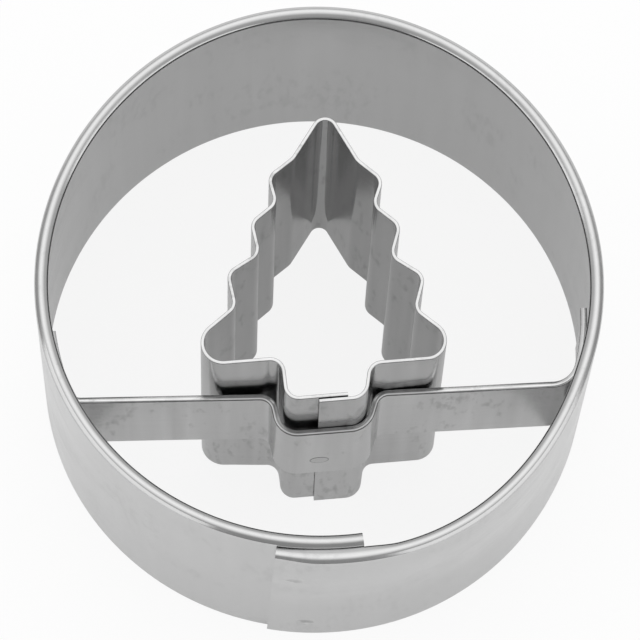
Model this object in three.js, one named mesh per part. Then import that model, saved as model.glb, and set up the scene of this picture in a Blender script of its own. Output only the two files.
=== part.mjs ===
// Round biscuit cutter with a fir tree in its middle: three bent steel strips and the spot welds between them.
// Millimetres, +Z up. The cutting edges lie on z = 0, and both lapped seams face -Y, the front.
import * as THREE from 'three';

// Strip stock and welds
const STRIP = 0.3; // sheet thickness of all three strips
const CUTTER_HEIGHT = 28; // ring and tree, from the cutting edges to the top
const LAP_GAP = 0.2; // air between two layers that lap
const WELD_DIAMETER = 1.8;
const WELD_FIT = 0.03; // air between a weld nugget and the sheets that it joins

// Ring
const RING_DIAMETER = 48; // over the outer face
const BEAD_BORE = 0.62; // hollow of the rolled top edge
const BEAD_SLOT = 0.1; // left open between the roll's end and the wall
const RING_LAP = 7.2; // length of the lapped seam
const OUTER_LAYER_FLAT = 3; // past the lap, where the outer layer still stands off
const OUTER_LAYER_EASE = 24; // and the run in which it comes back to the circle
const INNER_LAYER_EASE = 9; // run in which the inner layer leaves the circle
const RING_WELD_TURN = -3.4; // degrees that the seam welds sit left of the front
const RING_WELD_LOW = 3.2; // lower seam weld above the cutting edge
const RING_WELD_DROP = 11; // upper seam weld below the top

// Tree, on the middle of its sheet, with sharp corners; y from the ring's centre
const TREE_SHIFT = 0.55; // the tree sits a little to the right
const TIP_Y = 14.85;
const FLARE_X = 2.75; // where the slopes under the tip flatten
const FLARE_Y = 10.05;
const TOP_TIER_REACH = 4.8; // each tier's corner, from the axis
const TOP_TIER_Y = 8.35;
const TOP_TIER_DROP = 2.3; // from there to the notch under it
const MIDDLE_TIER_REACH = 6.25;
const MIDDLE_TIER_Y = 4.25;
const MIDDLE_TIER_DROP = 2.75;
const LOW_TIER_REACH = 8.25;
const LOW_TIER_Y = -0.25;
const LOW_TIER_DROP = 2.95;
const RIGHT_DROP = 0.2; // bent by hand, so the right tiers sit lower than the left ones
const LEFT_NOTCH_INSET = 0.62; // each notch, in from the tier above it
const RIGHT_NOTCH_INSET = 0.75;
const FRONT_TURN = 5; // degrees that the fronts of boughs and trunk are out of line
const LEFT_BOUGH_CORNER = 13.8; // where a bough's side and front would meet
const RIGHT_BOUGH_CORNER = 12.5;
const BOUGH_MIDDLE = 6.15; // the middle of a bough's front
const BOUGH_FRONT_Y = -7.95; // and where it lies
const TRUNK_TOP_HALF = 3.7; // half the trunk's width under the boughs
const TRUNK_FOOT_HALF = 3.3; // and at its front
const TRUNK_FRONT_Y = -10.98; // the inner layer, at the middle of the seam
const TIP_RADIUS = 1.2;
const FLARE_RADIUS = 1.5;
const TIER_RADIUS = 1.05;
const LEFT_BOUGH_RADIUS = 1.75;
const RIGHT_BOUGH_RADIUS = 1.6;
const SHOULDER_RADIUS = 1.15;
const LEFT_TRUNK_RADIUS = 1.1;
const RIGHT_TRUNK_RADIUS = 1.4;
const TREE_LAP = 2.4; // length of the trunk's lapped seam
const TREE_LAP_SHIFT = 0.6; // its middle, right of the tree's axis
const TREE_WELD_LOW = 5; // lower seam weld above the cutting edge
const TREE_WELD_DROP = 2.5; // upper seam weld below the top

// Strap
const STRAP_DROP = 6.4; // its top edge below the cutter's top
const STRAP_HEIGHT = 11.4;
const HEM_DEPTH = 2.5; // how far the folded top edge reaches down the back
const HEM_GAP = 0.05; // air inside the fold
const BOUGH_CLEARANCE = 0.6; // between the hem's back and the boughs, at the tree's axis
const SIDE_CLEARANCE = 0.2; // beside the trunk
const TRUNK_CLEARANCE = 0.12; // in front of the trunk
const LEFT_FOOT_PINCH = 0.3; // how far the strap is pressed in round the trunk's corners
const RIGHT_FOOT_PINCH = 0.45;
const STRAP_SHOULDER_RADIUS = 1; // front face, at the inside corners beside the trunk
const LEFT_ARM_TURN = 1.2; // degrees that each arm is turned, hand-set and not quite in line
const RIGHT_ARM_TURN = 3.1;
const TAB_CLEARANCE = 0.4; // between a tab and the ring's wall
const TAB_BEND_RADIUS = 1.8; // front face
const TAB_LENGTH = 5.5; // past the bend
const STRAP_WELD_RISE = 4; // trunk and tab welds above the strap's bottom edge
const TRUNK_WELD_SHIFT = 0.35; // left of the tree's axis

// Facets
const RING_STEP = 4; // degrees
const BEND_STEP = 12; // degrees
const BEAD_STEPS = 9;
const BORE_STEPS = 6;
const HEM_STEPS = 6;
const RISE_STEPS = 3;
const WELD_SIDES = 20;

const ringRadius = RING_DIAMETER / 2;
const bead = BEAD_BORE + 2 * STRIP;
const lapStep = STRIP + LAP_GAP;
const hem = 2 * STRIP + HEM_GAP;
const strapTop = CUTTER_HEIGHT - STRAP_DROP;
const strapBottom = strapTop - STRAP_HEIGHT;
const strapWeldZ = strapBottom + STRAP_WELD_RISE;
const ringWeldTop = CUTTER_HEIGHT - RING_WELD_DROP;
const front = -Math.PI / 2;
const frontTurn = THREE.MathUtils.degToRad(FRONT_TURN);
const frontSlope = Math.tan(frontTurn);

const steel = (color, roughness) => new THREE.MeshStandardMaterial({ color, roughness, metalness: 1 });
const ringSteel = steel(0xc4c4c4, 0.22);
const treeSteel = steel(0xb4b4b4, 0.24);
const strapSteel = steel(0xb8b8b8, 0.22);
const weldSteel = steel(0x8a8a8a, 0.45);

// Points of an arc as [x, y], both ends included. The angle runs the way the numbers say.
function arc(x, y, radius, from, to, steps) {
  return Array.from({ length: steps + 1 }, (_, i) => {
    const angle = from + ((to - from) * i) / steps;
    return [x + radius * Math.cos(angle), y + radius * Math.sin(angle)];
  });
}

// The same for a bend in a strip, with as many steps as its turn needs.
function bendArc(x, y, radius, from, to) {
  const turn = THREE.MathUtils.radToDeg(Math.abs(to - from));
  return arc(x, y, radius, from, to, Math.max(2, Math.ceil(turn / BEND_STEP)));
}

// Carries a section along stations. A section point is [sideways, height], counter-clockwise, and sideways is to the
// right of the way of travel. A shift may move each point further sideways.
function sweep(section, stations, shift = () => 0) {
  const positions = [];
  for (const station of stations) {
    for (const [sideways, height] of section) {
      const reach = sideways + shift(station, height);
      positions.push(station.x + station.sideX * reach, station.y + station.sideY * reach, height);
    }
  }
  const count = section.length;
  const index = [];
  for (let i = 0; i + 1 < stations.length; i++) {
    for (let j = 0; j < count; j++) {
      const here = i * count + j;
      const beside = i * count + ((j + 1) % count);
      index.push(here, beside + count, beside, here, here + count, beside + count);
    }
  }
  const last = positions.length / 3 - count;
  const outline = section.map(([sideways, height]) => new THREE.Vector2(sideways, height));
  for (const [a, b, c] of THREE.ShapeUtils.triangulateShape(outline, [])) {
    index.push(a, b, c, last + c, last + b, last + a);
  }
  const geometry = new THREE.BufferGeometry();
  geometry.setAttribute('position', new THREE.Float32BufferAttribute(positions, 3));
  geometry.setIndex(index);
  geometry.computeVertexNormals();
  return geometry;
}

// Stations along a line of points. At a bend the sideways direction is mitred, so the sheet keeps its thickness.
function stationsAlong(line) {
  const points = line.map(([x, y]) => new THREE.Vector2(x, y));
  const runs = points.slice(1).map((point, i) => point.clone().sub(points[i]).normalize());
  return points.map((point, i) => {
    const before = runs[Math.max(i - 1, 0)];
    const after = runs[Math.min(i, runs.length - 1)];
    const middle = before.clone().add(after).normalize();
    const stretch = 1 / middle.dot(after);
    return { x: point.x, y: point.y, sideX: middle.y * stretch, sideY: -middle.x * stretch };
  });
}

// The rounded corner [x, y, radius] of a line that comes from "previous" and leaves for "next".
function cornerArc(previous, [x, y, radius], next) {
  const back = new THREE.Vector2(previous[0] - x, previous[1] - y).normalize();
  const ahead = new THREE.Vector2(next[0] - x, next[1] - y).normalize();
  const half = Math.acos(back.dot(ahead)) / 2;
  const middle = back.clone().add(ahead).setLength(radius / Math.sin(half));
  const from = back.clone().multiplyScalar(radius / Math.tan(half)).sub(middle).angle();
  const turn = Math.PI - 2 * half;
  const to = back.cross(ahead) > 0 ? from - turn : from + turn;
  return bendArc(x + middle.x, y + middle.y, radius, from, to);
}

// A line of straight runs between rounded corners; its two ends have no radius.
function roundedLine(corners) {
  const bends = corners.slice(1, -1).flatMap((corner, i) => cornerArc(corners[i], corner, corners[i + 2]));
  return [corners[0], ...bends, corners[corners.length - 1]];
}

// The ring's section: the wall with its outer face at 0, and the top edge rolled inwards to a bead.
function ringSection(riseStart, riseEnd) {
  const beadRadius = bead / 2;
  const axisHeight = CUTTER_HEIGHT - beadRadius;
  const slotEdge = STRIP + BEAD_SLOT - beadRadius;
  const rollEnd = -Math.acos(slotEdge / beadRadius);
  const levels = Array.from({ length: RISE_STEPS + 1 }, (_, i) => {
    return riseStart + ((riseEnd - riseStart) * i) / RISE_STEPS;
  });
  const innerFace = levels.map((level) => [STRIP, level]);
  const outerFace = levels.map((level) => [0, level]).reverse();
  return [
    [0, 0],
    [STRIP, 0],
    ...innerFace,
    ...arc(beadRadius, axisHeight, BEAD_BORE / 2, Math.PI, rollEnd, BORE_STEPS),
    ...arc(beadRadius, axisHeight, beadRadius, rollEnd, Math.PI, BEAD_STEPS),
    ...outerFace,
  ];
}

// The ring runs clockwise from the lap's inner end to its outer end. Below the upper weld the two layers lie against
// each other, and above it the beads, which lie side by side, push the outer layer out.
function ringBand() {
  const halfLap = RING_LAP / 2 / ringRadius;
  const turn = 2 * Math.PI + 2 * halfLap;
  const steps = Math.ceil(THREE.MathUtils.radToDeg(turn) / RING_STEP);
  const stations = Array.from({ length: steps + 1 }, (_, i) => {
    const travel = (turn * i) / steps;
    const angle = front + halfLap - travel;
    const sideX = -Math.cos(angle);
    const sideY = -Math.sin(angle);
    return { x: -ringRadius * sideX, y: -ringRadius * sideY, sideX, sideY, travel: travel * ringRadius };
  });
  const length = turn * ringRadius;
  const riseStart = ringWeldTop + WELD_DIAMETER;
  const riseEnd = CUTTER_HEIGHT - bead;
  const outerEnd = RING_LAP + OUTER_LAYER_FLAT + OUTER_LAYER_EASE;
  const innerEnd = RING_LAP + INNER_LAYER_EASE;
  const lapShift = ({ travel }, height) => {
    const rise = THREE.MathUtils.smoothstep(height, riseStart, riseEnd);
    const outer = 1 - THREE.MathUtils.smoothstep(length - travel, outerEnd - OUTER_LAYER_EASE, outerEnd);
    const inner = 1 - THREE.MathUtils.smoothstep(travel, RING_LAP, innerEnd);
    const outwards = outer * THREE.MathUtils.lerp(lapStep / 2, bead + LAP_GAP, rise);
    const inwards = inner * (lapStep / 2) * (1 - rise);
    return inwards - outwards;
  };
  return sweep(ringSection(riseStart, riseEnd), stations, lapShift);
}

// One side of the tree, from the slope under the tip down to the inside corner beside the trunk. "side" is 1 on the
// right and -1 on the left.
function treeSide(side, lower, inset, boughCorner, boughRadius) {
  const tiers = [
    [TOP_TIER_REACH, TOP_TIER_Y, TOP_TIER_DROP],
    [MIDDLE_TIER_REACH, MIDDLE_TIER_Y, MIDDLE_TIER_DROP],
    [LOW_TIER_REACH, LOW_TIER_Y, LOW_TIER_DROP],
  ];
  const boughFront = (x) => BOUGH_FRONT_Y + side * (x - BOUGH_MIDDLE) * frontSlope;
  const corners = [
    [FLARE_X, FLARE_Y - lower, FLARE_RADIUS],
    ...tiers.flatMap(([reach, y, drop]) => [
      [reach, y - lower, TIER_RADIUS],
      [reach - inset, y - lower - drop, TIER_RADIUS],
    ]),
    [boughCorner, boughFront(boughCorner), boughRadius],
    [TRUNK_TOP_HALF, boughFront(TRUNK_TOP_HALF), SHOULDER_RADIUS],
  ];
  return corners.map(([x, y, radius]) => [side * x, y, radius]);
}

// The trunk's front at x from the tree's axis, a distance off the middle of the inner layer.
function trunkFront(x, off) {
  return TRUNK_FRONT_Y - off + (x - TREE_LAP_SHIFT) * frontSlope;
}

// The tree runs clockwise from the lap's inner end, which lies on the trunk's front, round to its outer end.
function treeBand() {
  const innerEnd = TREE_LAP_SHIFT + TREE_LAP / 2;
  const outerEnd = TREE_LAP_SHIFT - TREE_LAP / 2;
  const corners = [
    [innerEnd, trunkFront(innerEnd, 0)],
    [-TRUNK_FOOT_HALF, trunkFront(-TRUNK_FOOT_HALF, 0), LEFT_TRUNK_RADIUS],
    ...treeSide(-1, 0, LEFT_NOTCH_INSET, LEFT_BOUGH_CORNER, LEFT_BOUGH_RADIUS).reverse(),
    [0, TIP_Y, TIP_RADIUS],
    ...treeSide(1, RIGHT_DROP, RIGHT_NOTCH_INSET, RIGHT_BOUGH_CORNER, RIGHT_BOUGH_RADIUS),
    [TRUNK_FOOT_HALF, trunkFront(TRUNK_FOOT_HALF, lapStep), RIGHT_TRUNK_RADIUS],
    [outerEnd, trunkFront(outerEnd, lapStep)],
  ];
  const placed = corners.map(([x, y, radius]) => [x + TREE_SHIFT, y, radius]);
  const section = [
    [-STRIP / 2, 0],
    [STRIP / 2, 0],
    [STRIP / 2, CUTTER_HEIGHT],
    [-STRIP / 2, CUTTER_HEIGHT],
  ];
  return sweep(section, stationsAlong(roundedLine(placed)));
}

// The strap's section: its front face at 0, and the top edge folded down the back.
function strapSection() {
  const foldRadius = hem / 2;
  const foldHeight = strapTop - foldRadius;
  const hemBottom = strapTop - HEM_DEPTH;
  return [
    [-STRIP, strapBottom],
    [0, strapBottom],
    ...arc(-foldRadius, foldHeight, foldRadius, 0, Math.PI, HEM_STEPS),
    [-hem, hemBottom],
    [STRIP - hem, hemBottom],
    [STRIP - hem, foldHeight],
    [-foldRadius, foldHeight + HEM_GAP / 2],
    [-STRIP, foldHeight],
  ];
}

const tabRadius = ringRadius - STRIP - TAB_CLEARANCE;

// The bend that turns an arm into its tab: one bend radius behind the arm's line, touching the tab's circle from
// inside. "side" is 1 at the right end and -1 at the left end.
function tabBend(onArm, armAngle, side) {
  const along = new THREE.Vector2(Math.cos(armAngle), Math.sin(armAngle));
  const behind = new THREE.Vector2(-along.y, along.x);
  const start = new THREE.Vector2(...onArm).addScaledVector(behind, TAB_BEND_RADIUS);
  const reach = tabRadius - TAB_BEND_RADIUS;
  const foot = start.dot(along);
  const travel = side * Math.sqrt(foot * foot - start.lengthSq() + reach * reach) - foot;
  const centre = start.addScaledVector(along, travel);
  const tabStart = centre.angle();
  const tabEnd = tabStart + (side * TAB_LENGTH) / tabRadius;
  return { centre, armAngle: armAngle + 3 * Math.PI / 2, tabStart, tabEnd };
}

// The strap's front line. It stands off the tree by the hem and a clearance, and each arm turns about the tree's
// axis.
const standOff = (clearance) => STRIP / 2 + clearance + hem;
const armY = BOUGH_FRONT_Y - standOff(BOUGH_CLEARANCE);
const strapFront = (x) => trunkFront(x, lapStep + standOff(TRUNK_CLEARANCE));
const leftTurn = THREE.MathUtils.degToRad(LEFT_ARM_TURN);
const rightTurn = THREE.MathUtils.degToRad(RIGHT_ARM_TURN);
const leftBend = tabBend([TREE_SHIFT, armY], leftTurn, -1);
const rightBend = tabBend([TREE_SHIFT, armY], rightTurn, 1);

// The strap runs from the left tab's end along the front to the right tab's end.
function bridgeStrap() {
  const wrap = standOff(SIDE_CLEARANCE);
  const shoulder = TRUNK_TOP_HALF + wrap;
  const leftFoot = TRUNK_FOOT_HALF + wrap - LEFT_FOOT_PINCH;
  const rightFoot = TRUNK_FOOT_HALF + wrap - RIGHT_FOOT_PINCH;
  const toArm = ({ centre, tabStart, armAngle }) => bendArc(...centre, TAB_BEND_RADIUS, tabStart, armAngle);
  const leftTurnArc = toArm(leftBend);
  const rightTurnArc = toArm(rightBend).reverse();
  const corners = [
    leftTurnArc[leftTurnArc.length - 1],
    [TREE_SHIFT - shoulder, armY - shoulder * Math.tan(leftTurn), STRAP_SHOULDER_RADIUS],
    [TREE_SHIFT - leftFoot, strapFront(-leftFoot), LEFT_TRUNK_RADIUS + wrap],
    [TREE_SHIFT + rightFoot, strapFront(rightFoot), RIGHT_TRUNK_RADIUS + wrap],
    [TREE_SHIFT + shoulder, armY + shoulder * Math.tan(rightTurn), STRAP_SHOULDER_RADIUS],
    rightTurnArc[0],
  ];
  const line = [
    ...bendArc(0, 0, tabRadius, leftBend.tabEnd, leftBend.tabStart),
    ...leftTurnArc.slice(1, -1),
    ...roundedLine(corners),
    ...rightTurnArc.slice(1, -1),
    ...bendArc(0, 0, tabRadius, rightBend.tabStart, rightBend.tabEnd),
  ];
  return sweep(strapSection(), stationsAlong(line));
}

const cutter = new THREE.Group();

function addPiece(name, geometry, material) {
  const mesh = new THREE.Mesh(geometry, material);
  mesh.name = name;
  cutter.add(mesh);
  return mesh;
}

// A weld nugget is a flat disc in the gap between two sheets, facing the way "angle" points.
function addWeld(name, x, y, z, angle, gap) {
  const thickness = gap - 2 * WELD_FIT;
  const disc = new THREE.CylinderGeometry(WELD_DIAMETER / 2, WELD_DIAMETER / 2, thickness, WELD_SIDES);
  const weld = addPiece(name, disc, weldSteel);
  weld.position.set(x, y, z);
  weld.rotation.z = angle + front;
}

// A weld between two curved walls, whose gap is narrowed by the walls' rise over the disc.
function addRingWeld(name, radius, z, angle, gap) {
  const rise = WELD_DIAMETER ** 2 / 8 / radius;
  addWeld(name, radius * Math.cos(angle), radius * Math.sin(angle), z, angle, gap - rise);
}

addPiece('ring_band', ringBand(), ringSteel);
addPiece('tree_band', treeBand(), treeSteel);
addPiece('bridge_strap', bridgeStrap(), strapSteel);

const ringWeldAngle = front + THREE.MathUtils.degToRad(RING_WELD_TURN);
addRingWeld('ring_seam_weld_lower', ringRadius - STRIP / 2, RING_WELD_LOW, ringWeldAngle, LAP_GAP);
addRingWeld('ring_seam_weld_upper', ringRadius - STRIP / 2, ringWeldTop, ringWeldAngle, LAP_GAP);

const trunkAngle = front + frontTurn;
const treeSeamX = TREE_SHIFT + TREE_LAP_SHIFT;
const treeSeamY = trunkFront(TREE_LAP_SHIFT, lapStep / 2);
const trunkLapGap = lapStep * Math.cos(frontTurn) - STRIP;
addWeld('tree_seam_weld_lower', treeSeamX, treeSeamY, TREE_WELD_LOW, trunkAngle, trunkLapGap);
addWeld('tree_seam_weld_upper', treeSeamX, treeSeamY, CUTTER_HEIGHT - TREE_WELD_DROP, trunkAngle, trunkLapGap);

const trunkGap = standOff(TRUNK_CLEARANCE) * Math.cos(frontTurn) - STRIP / 2 - STRIP;
const trunkReach = (STRIP + trunkGap) / 2;
const trunkWeldX = TREE_SHIFT - TRUNK_WELD_SHIFT + trunkReach * Math.cos(trunkAngle);
const trunkWeldY = trunkFront(-TRUNK_WELD_SHIFT, lapStep) + trunkReach * Math.sin(trunkAngle);
addWeld('trunk_weld', trunkWeldX, trunkWeldY, strapWeldZ, trunkAngle, trunkGap);

const tabWeldRadius = tabRadius + TAB_CLEARANCE / 2;
for (const [name, bend] of [['left_tab_weld', leftBend], ['right_tab_weld', rightBend]]) {
  addRingWeld(name, tabWeldRadius, strapWeldZ, (bend.tabStart + bend.tabEnd) / 2, TAB_CLEARANCE);
}

// The origin is the middle of the outer box, on the plane of the cutting edges.
const middle = new THREE.Box3().setFromObject(cutter).getCenter(new THREE.Vector3());
cutter.position.set(-middle.x, -middle.y, 0);

export default cutter;
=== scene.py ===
"""Tree cookie cutter: bright bent strips with spot weld marks, on a pale floor, seen as in the photograph."""
import math
from functools import partial

import bmesh
import bpy
from bpy.props import FloatProperty, FloatVectorProperty, PointerProperty
from mathutils import Matrix, Vector


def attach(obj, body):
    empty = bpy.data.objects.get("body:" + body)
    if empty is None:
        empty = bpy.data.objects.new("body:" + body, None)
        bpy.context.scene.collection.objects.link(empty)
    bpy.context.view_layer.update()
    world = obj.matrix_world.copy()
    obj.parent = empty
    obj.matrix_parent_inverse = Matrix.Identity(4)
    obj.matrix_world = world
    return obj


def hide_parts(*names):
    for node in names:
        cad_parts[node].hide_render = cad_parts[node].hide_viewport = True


bl_info = {
    "name": "Tree Cookie Cutter",
    "version": (1, 0, 0),
    "blender": (4, 5, 0),
    "location": "3D View > Sidebar > Cutter",
    "description": "Builds the strips, weld marks and stage of a tree cookie cutter around its CAD model",
    "category": "Object",
}

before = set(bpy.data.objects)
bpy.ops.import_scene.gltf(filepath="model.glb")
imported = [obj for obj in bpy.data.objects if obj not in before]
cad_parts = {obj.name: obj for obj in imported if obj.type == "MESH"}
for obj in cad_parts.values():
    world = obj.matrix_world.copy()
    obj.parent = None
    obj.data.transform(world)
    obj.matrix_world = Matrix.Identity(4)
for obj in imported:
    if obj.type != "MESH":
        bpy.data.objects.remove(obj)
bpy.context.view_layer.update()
MM = 0.001
FRONT = -math.pi / 2
WHITE = (1, 1, 1, 1)

# How finely the strips are drawn: steps round the ring, along a strip, and in degrees round a bend.
RING_STEPS = 360
STRIP_STEP = 0.1 * MM
BEND_STEP = 3
HARD_EDGE = math.radians(50)

# Kinds of nodes and their settings
MATH = "ShaderNodeMath"
VECTOR = "ShaderNodeVectorMath"
RAMP = "ShaderNodeMapRange"
NOISE = "ShaderNodeTexNoise"
TIMES = {"operation": "MULTIPLY"}
LESS = {"operation": "SUBTRACT"}
SCALED = {"operation": "SCALE"}
UNSIGNED = {"operation": "ABSOLUTE"}
SOFT = {"interpolation_type": "SMOOTHSTEP"}


# Properties

def number(name, description, default, **kind):
    """A property of one number, or of several."""
    if isinstance(default, tuple):
        kind["size"] = len(default)
        return FloatVectorProperty(name=name, description=description, default=default, **kind)
    return FloatProperty(name=name, description=description, default=default, **kind)


def length(name, description, millimetres):
    """A size, given in millimetres and kept in metres."""
    return number(name, description, millimetres * MM, subtype="DISTANCE", unit="LENGTH")


def lengths(name, description, *millimetres):
    """Two or three sizes, given in millimetres and kept in metres. Of two, the left or lower one is first."""
    metres = tuple(value * MM for value in millimetres)
    return number(name, description, metres, subtype="XYZ_LENGTH", unit="LENGTH")


def angle(name, description, degrees):
    """An angle, given in degrees and kept in radians."""
    return number(name, description, math.radians(degrees), subtype="ANGLE", unit="ROTATION")


def angles(name, description, *degrees):
    """Two angles, given in degrees and kept in radians. The left or lower one is first."""
    return number(name, description, tuple(math.radians(value) for value in degrees), unit="ROTATION")


def share(name, description, value):
    """A part of a whole, from 0 to 1."""
    return number(name, description, value, min=0, max=1, subtype="FACTOR")


def linear(hex_colour):
    """The linear colour, with alpha, of an sRGB hex value."""
    parts = [int(hex_colour[i:i + 2], 16) / 255 for i in (0, 2, 4)]
    shades = [part / 12.92 if part <= 0.04045 else ((part + 0.055) / 1.055) ** 2.4 for part in parts]
    return (*shades, 1.0)


def colour(name, description, hex_colour):
    """A colour, given as an sRGB hex value."""
    return number(name, description, linear(hex_colour), min=0, max=1, subtype="COLOR")


class SheetSizes(bpy.types.PropertyGroup):
    """The strip stock that ring, tree and strap are bent from."""

    thickness: length("Sheet", "Thickness of the strips", 0.3)
    height: length("Height", "Ring and tree, from the cutting edges to the top", 28)
    lap_gap: length("Lap Gap", "Air between two layers that lap", 0.1)
    edge: length("Edge Rounding", "Radius on the sheared edges of the strips", 0.06)
    wave: length("Wave", "How far hand bending left the sheet out of true", 0.02)
    wave_length: length("Wave Length", "From one such wave to the next", 9)


class RingSizes(bpy.types.PropertyGroup):
    """The ring with its rolled bead and its lapped seam."""

    centre_y: length("Centre", "The ring's centre behind the origin", 0.7164)
    diameter: length("Diameter", "Over the outer face", 48)
    bead_crest: length("Bead Crest", "Radius at the crest of the rolled top edge", 0.55)
    bead_flank: length("Bead Flank", "Flat run down the inner side of the roll", 0.18)
    bead_lean: angle("Bead Lean", "How far that run falls from level", 34)
    bead_curl: length("Bead Curl", "Radius of the curl under that run", 0.4)
    bead_end: angle("Bead End", "How far past level the curl turns back to the wall", 150)
    bead_face: length("Bead Face", "Flat run down the outer side of the roll", 0.22)
    face_lean: angle("Face Lean", "How far that run falls from level", 40)
    face_foot: length("Face Foot", "Radius of the bend between that run and the wall", 0.3)
    bead_gap: length("Bead Gap", "Air between the two beads at the lap", 0.2)
    lap: length("Lap", "Length of the lapped seam", 7.2)
    outer_flat: length("Outer Flat", "Past the lap, where the outer layer still stands off", 3)
    outer_ease: length("Outer Ease", "Run in which the outer layer comes back to the circle", 24)
    inner_ease: length("Inner Ease", "Run in which the inner layer leaves the circle", 28)
    rise_start: length("Rise Start", "Height at which the outer layer starts to lean out", 8)
    inner_lean: length("Inner Lean", "How far the inner bead stands in at the lap, or out below 0", -0.24)
    end_lean: length("End Lean", "How far the outer end's cut runs on at its foot", 0.6)
    pinch: length("Pinch", "Run in which the outer bead narrows to its end", 3.6)
    pinch_share: share("Pinch Share", "How much narrower and lower the outer bead is at its end", 0.27)
    pinch_start: length("Pinch Start", "Height at which the outer wall starts to lean in at its end", 22)
    egg: length("Egg", "How far the rim is drawn forward beside the seam", 0.8)


class TreeSizes(bpy.types.PropertyGroup):
    """The tree's outline, on the middle of its sheet, from the ring's centre."""

    shift: length("Shift", "The tree's axis, right of the ring's centre", 0.55)
    tip_y: length("Tip", "Where the slopes would meet", 14.58)
    flare_x: length("Flare X", "Where the slopes under the tip flatten, from the axis", 2.75)
    flare_y: length("Flare Y", "Where the slopes under the tip flatten, from the front", 10.05)
    tier_reach: lengths("Tier Reach", "How far each tier reaches from the axis", 4.8, 6.25, 8.25)
    tier_y: lengths("Tier Y", "Where each tier's corner lies", 8.35, 4.25, -0.25)
    tier_drop: lengths("Tier Drop", "From each tier's corner to the notch under it", 2.3, 2.75, 2.95)
    insets: lengths("Insets", "Each notch, in from the tier above it", 0.62, 0.75)
    right_drop: length("Right Drop", "How much lower the right tiers sit than the left ones", 0.2)
    front_turn: angle("Front Turn", "How far the fronts of boughs and trunk are out of line", 5)
    bough_corners: lengths("Bough Corners", "Where a bough's side and front would meet", 13.8, 12.5)
    bough_middle: length("Bough Middle", "The middle of a bough's front, from the axis", 6.15)
    bough_front: length("Bough Front", "The boughs' front, before the ring's centre", -7.95)
    trunk_top: length("Trunk Top", "Half the trunk's width under the boughs", 3.7)
    trunk_foot: length("Trunk Foot", "Half the trunk's width at its front", 3.3)
    trunk_front: length("Trunk Front", "The trunk's inner layer, before the ring's centre", -10.98)
    tip_radius: length("Tip Radius", "Bend at the tip", 1)
    flare_radius: length("Flare Radius", "Bend where the slopes flatten", 1.5)
    tier_radius: length("Tier Radius", "Bends of tiers and notches", 1.05)
    bough_radii: lengths("Bough Radii", "Bends at the ends of the boughs", 1.75, 1.6)
    shoulder_radius: length("Shoulder Radius", "Bends beside the trunk", 1.15)
    trunk_radii: lengths("Trunk Radii", "Bends at the trunk's foot", 1.1, 1.4)
    lap: length("Lap", "Length of the trunk's lapped seam", 2.4)
    lap_shift: length("Lap Shift", "The seam's middle, right of the tree's axis", 0.6)
    foot_lean: length("Foot Lean", "How far the front's cutting edge stands before its top", 0.2)
    lean_foot: length("Lean Foot", "Height at which that lean is full", 14)
    lean_start: length("Lean Start", "Where the sides start to take part in it, from the origin", 2)
    lean_end: length("Lean End", "Where they take part in full, from the origin", -6)
    shoulder_lean: length("Shoulder Lean", "How much more the left bough's inner end leans", 0.4)
    shoulder_reach: length("Shoulder Reach", "Run in which that extra lean fades out", 6)
    trunk_start: length("Trunk Start", "Where it starts to fade towards the trunk, from the origin", -7.6)
    trunk_end: length("Trunk End", "Where it has faded there, from the origin", -9.2)
    foot_flare: length("Foot Flare", "How much further forward the cutting edge stands below the strap", 0.27)
    flare_top: length("Flare Top", "Height at which that starts", 9.6)


class StrapSizes(bpy.types.PropertyGroup):
    """The bridge strap with its hemmed top edge, and where shade is painted on the hem's crest."""

    thickness: length("Sheet", "Thickness of the strap, thinner than ring and tree", 0.25)
    drop: length("Drop", "The strap's top edge below the cutter's top", 7)
    height: length("Height", "Of the strap", 11.4)
    hem_depth: length("Hem Depth", "How far the folded top edge reaches down the back", 2.5)
    hem_gap: length("Hem Gap", "Air inside the fold", 0.04)
    bough_clearance: length("Bough Clearance", "Between the hem's back and the boughs", 0.51)
    trunk_clearance: length("Trunk Clearance", "In front of the trunk", 0.14)
    shoulder: length("Shoulder", "The inside corners beside the trunk, from the axis", 4.7)
    feet: lengths("Feet", "The corners before the trunk, from the axis", 4, 3.85)
    shoulder_radius: length("Shoulder Radius", "Bends beside the trunk, on the front face", 1)
    foot_radii: lengths("Foot Radii", "Bends before the trunk, on the front face", 2.1, 2.4)
    crest: length("Crest", "Radius at the crest of the fold", 0.2)
    crest_turn: angle("Crest Turn", "How far the fold turns before its back falls straight", 114)
    turns: angles("Turns", "How far the arms are out of line", 1.2, 3.1)
    tabs: lengths("Tabs", "Between the tabs and the ring's wall", 0.57, 0.46)
    splays: lengths("Splays", "How far the tabs' ends come away from the wall", 0, 0.2)
    bends: lengths("Bends", "Radius of the bends from the arms to their tabs", 1.2, 2.6)
    tab_lengths: lengths("Tab Lengths", "Of the tabs, past their bends", 5.9, 5.3)
    # The next six sizes say where shade is painted on the hem's level crest: it is darkened before the tree
    # and on the tabs, and the middle of each arm is left bright.
    crest_shade_reach: share("Crest Shade Reach", "How far the hem's crest is rubbed before the tree and on the tabs", 1)
    crest_from: share("Crest From", "How level the crest is where the rubbing starts", 0.9)
    crest_full: share("Crest Full", "How level the crest is where it is rubbed in full", 0.97)
    arm_middle: length("Arm Middle", "The middle of an arm's clean crest, from the origin", 16)
    arm_unshaded: length("Arm Unshaded", "From there to where the crest starts to be rubbed", 5)
    arm_dull: length("Arm Shaded", "From there to where the crest is rubbed in full", 7.5)


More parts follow.
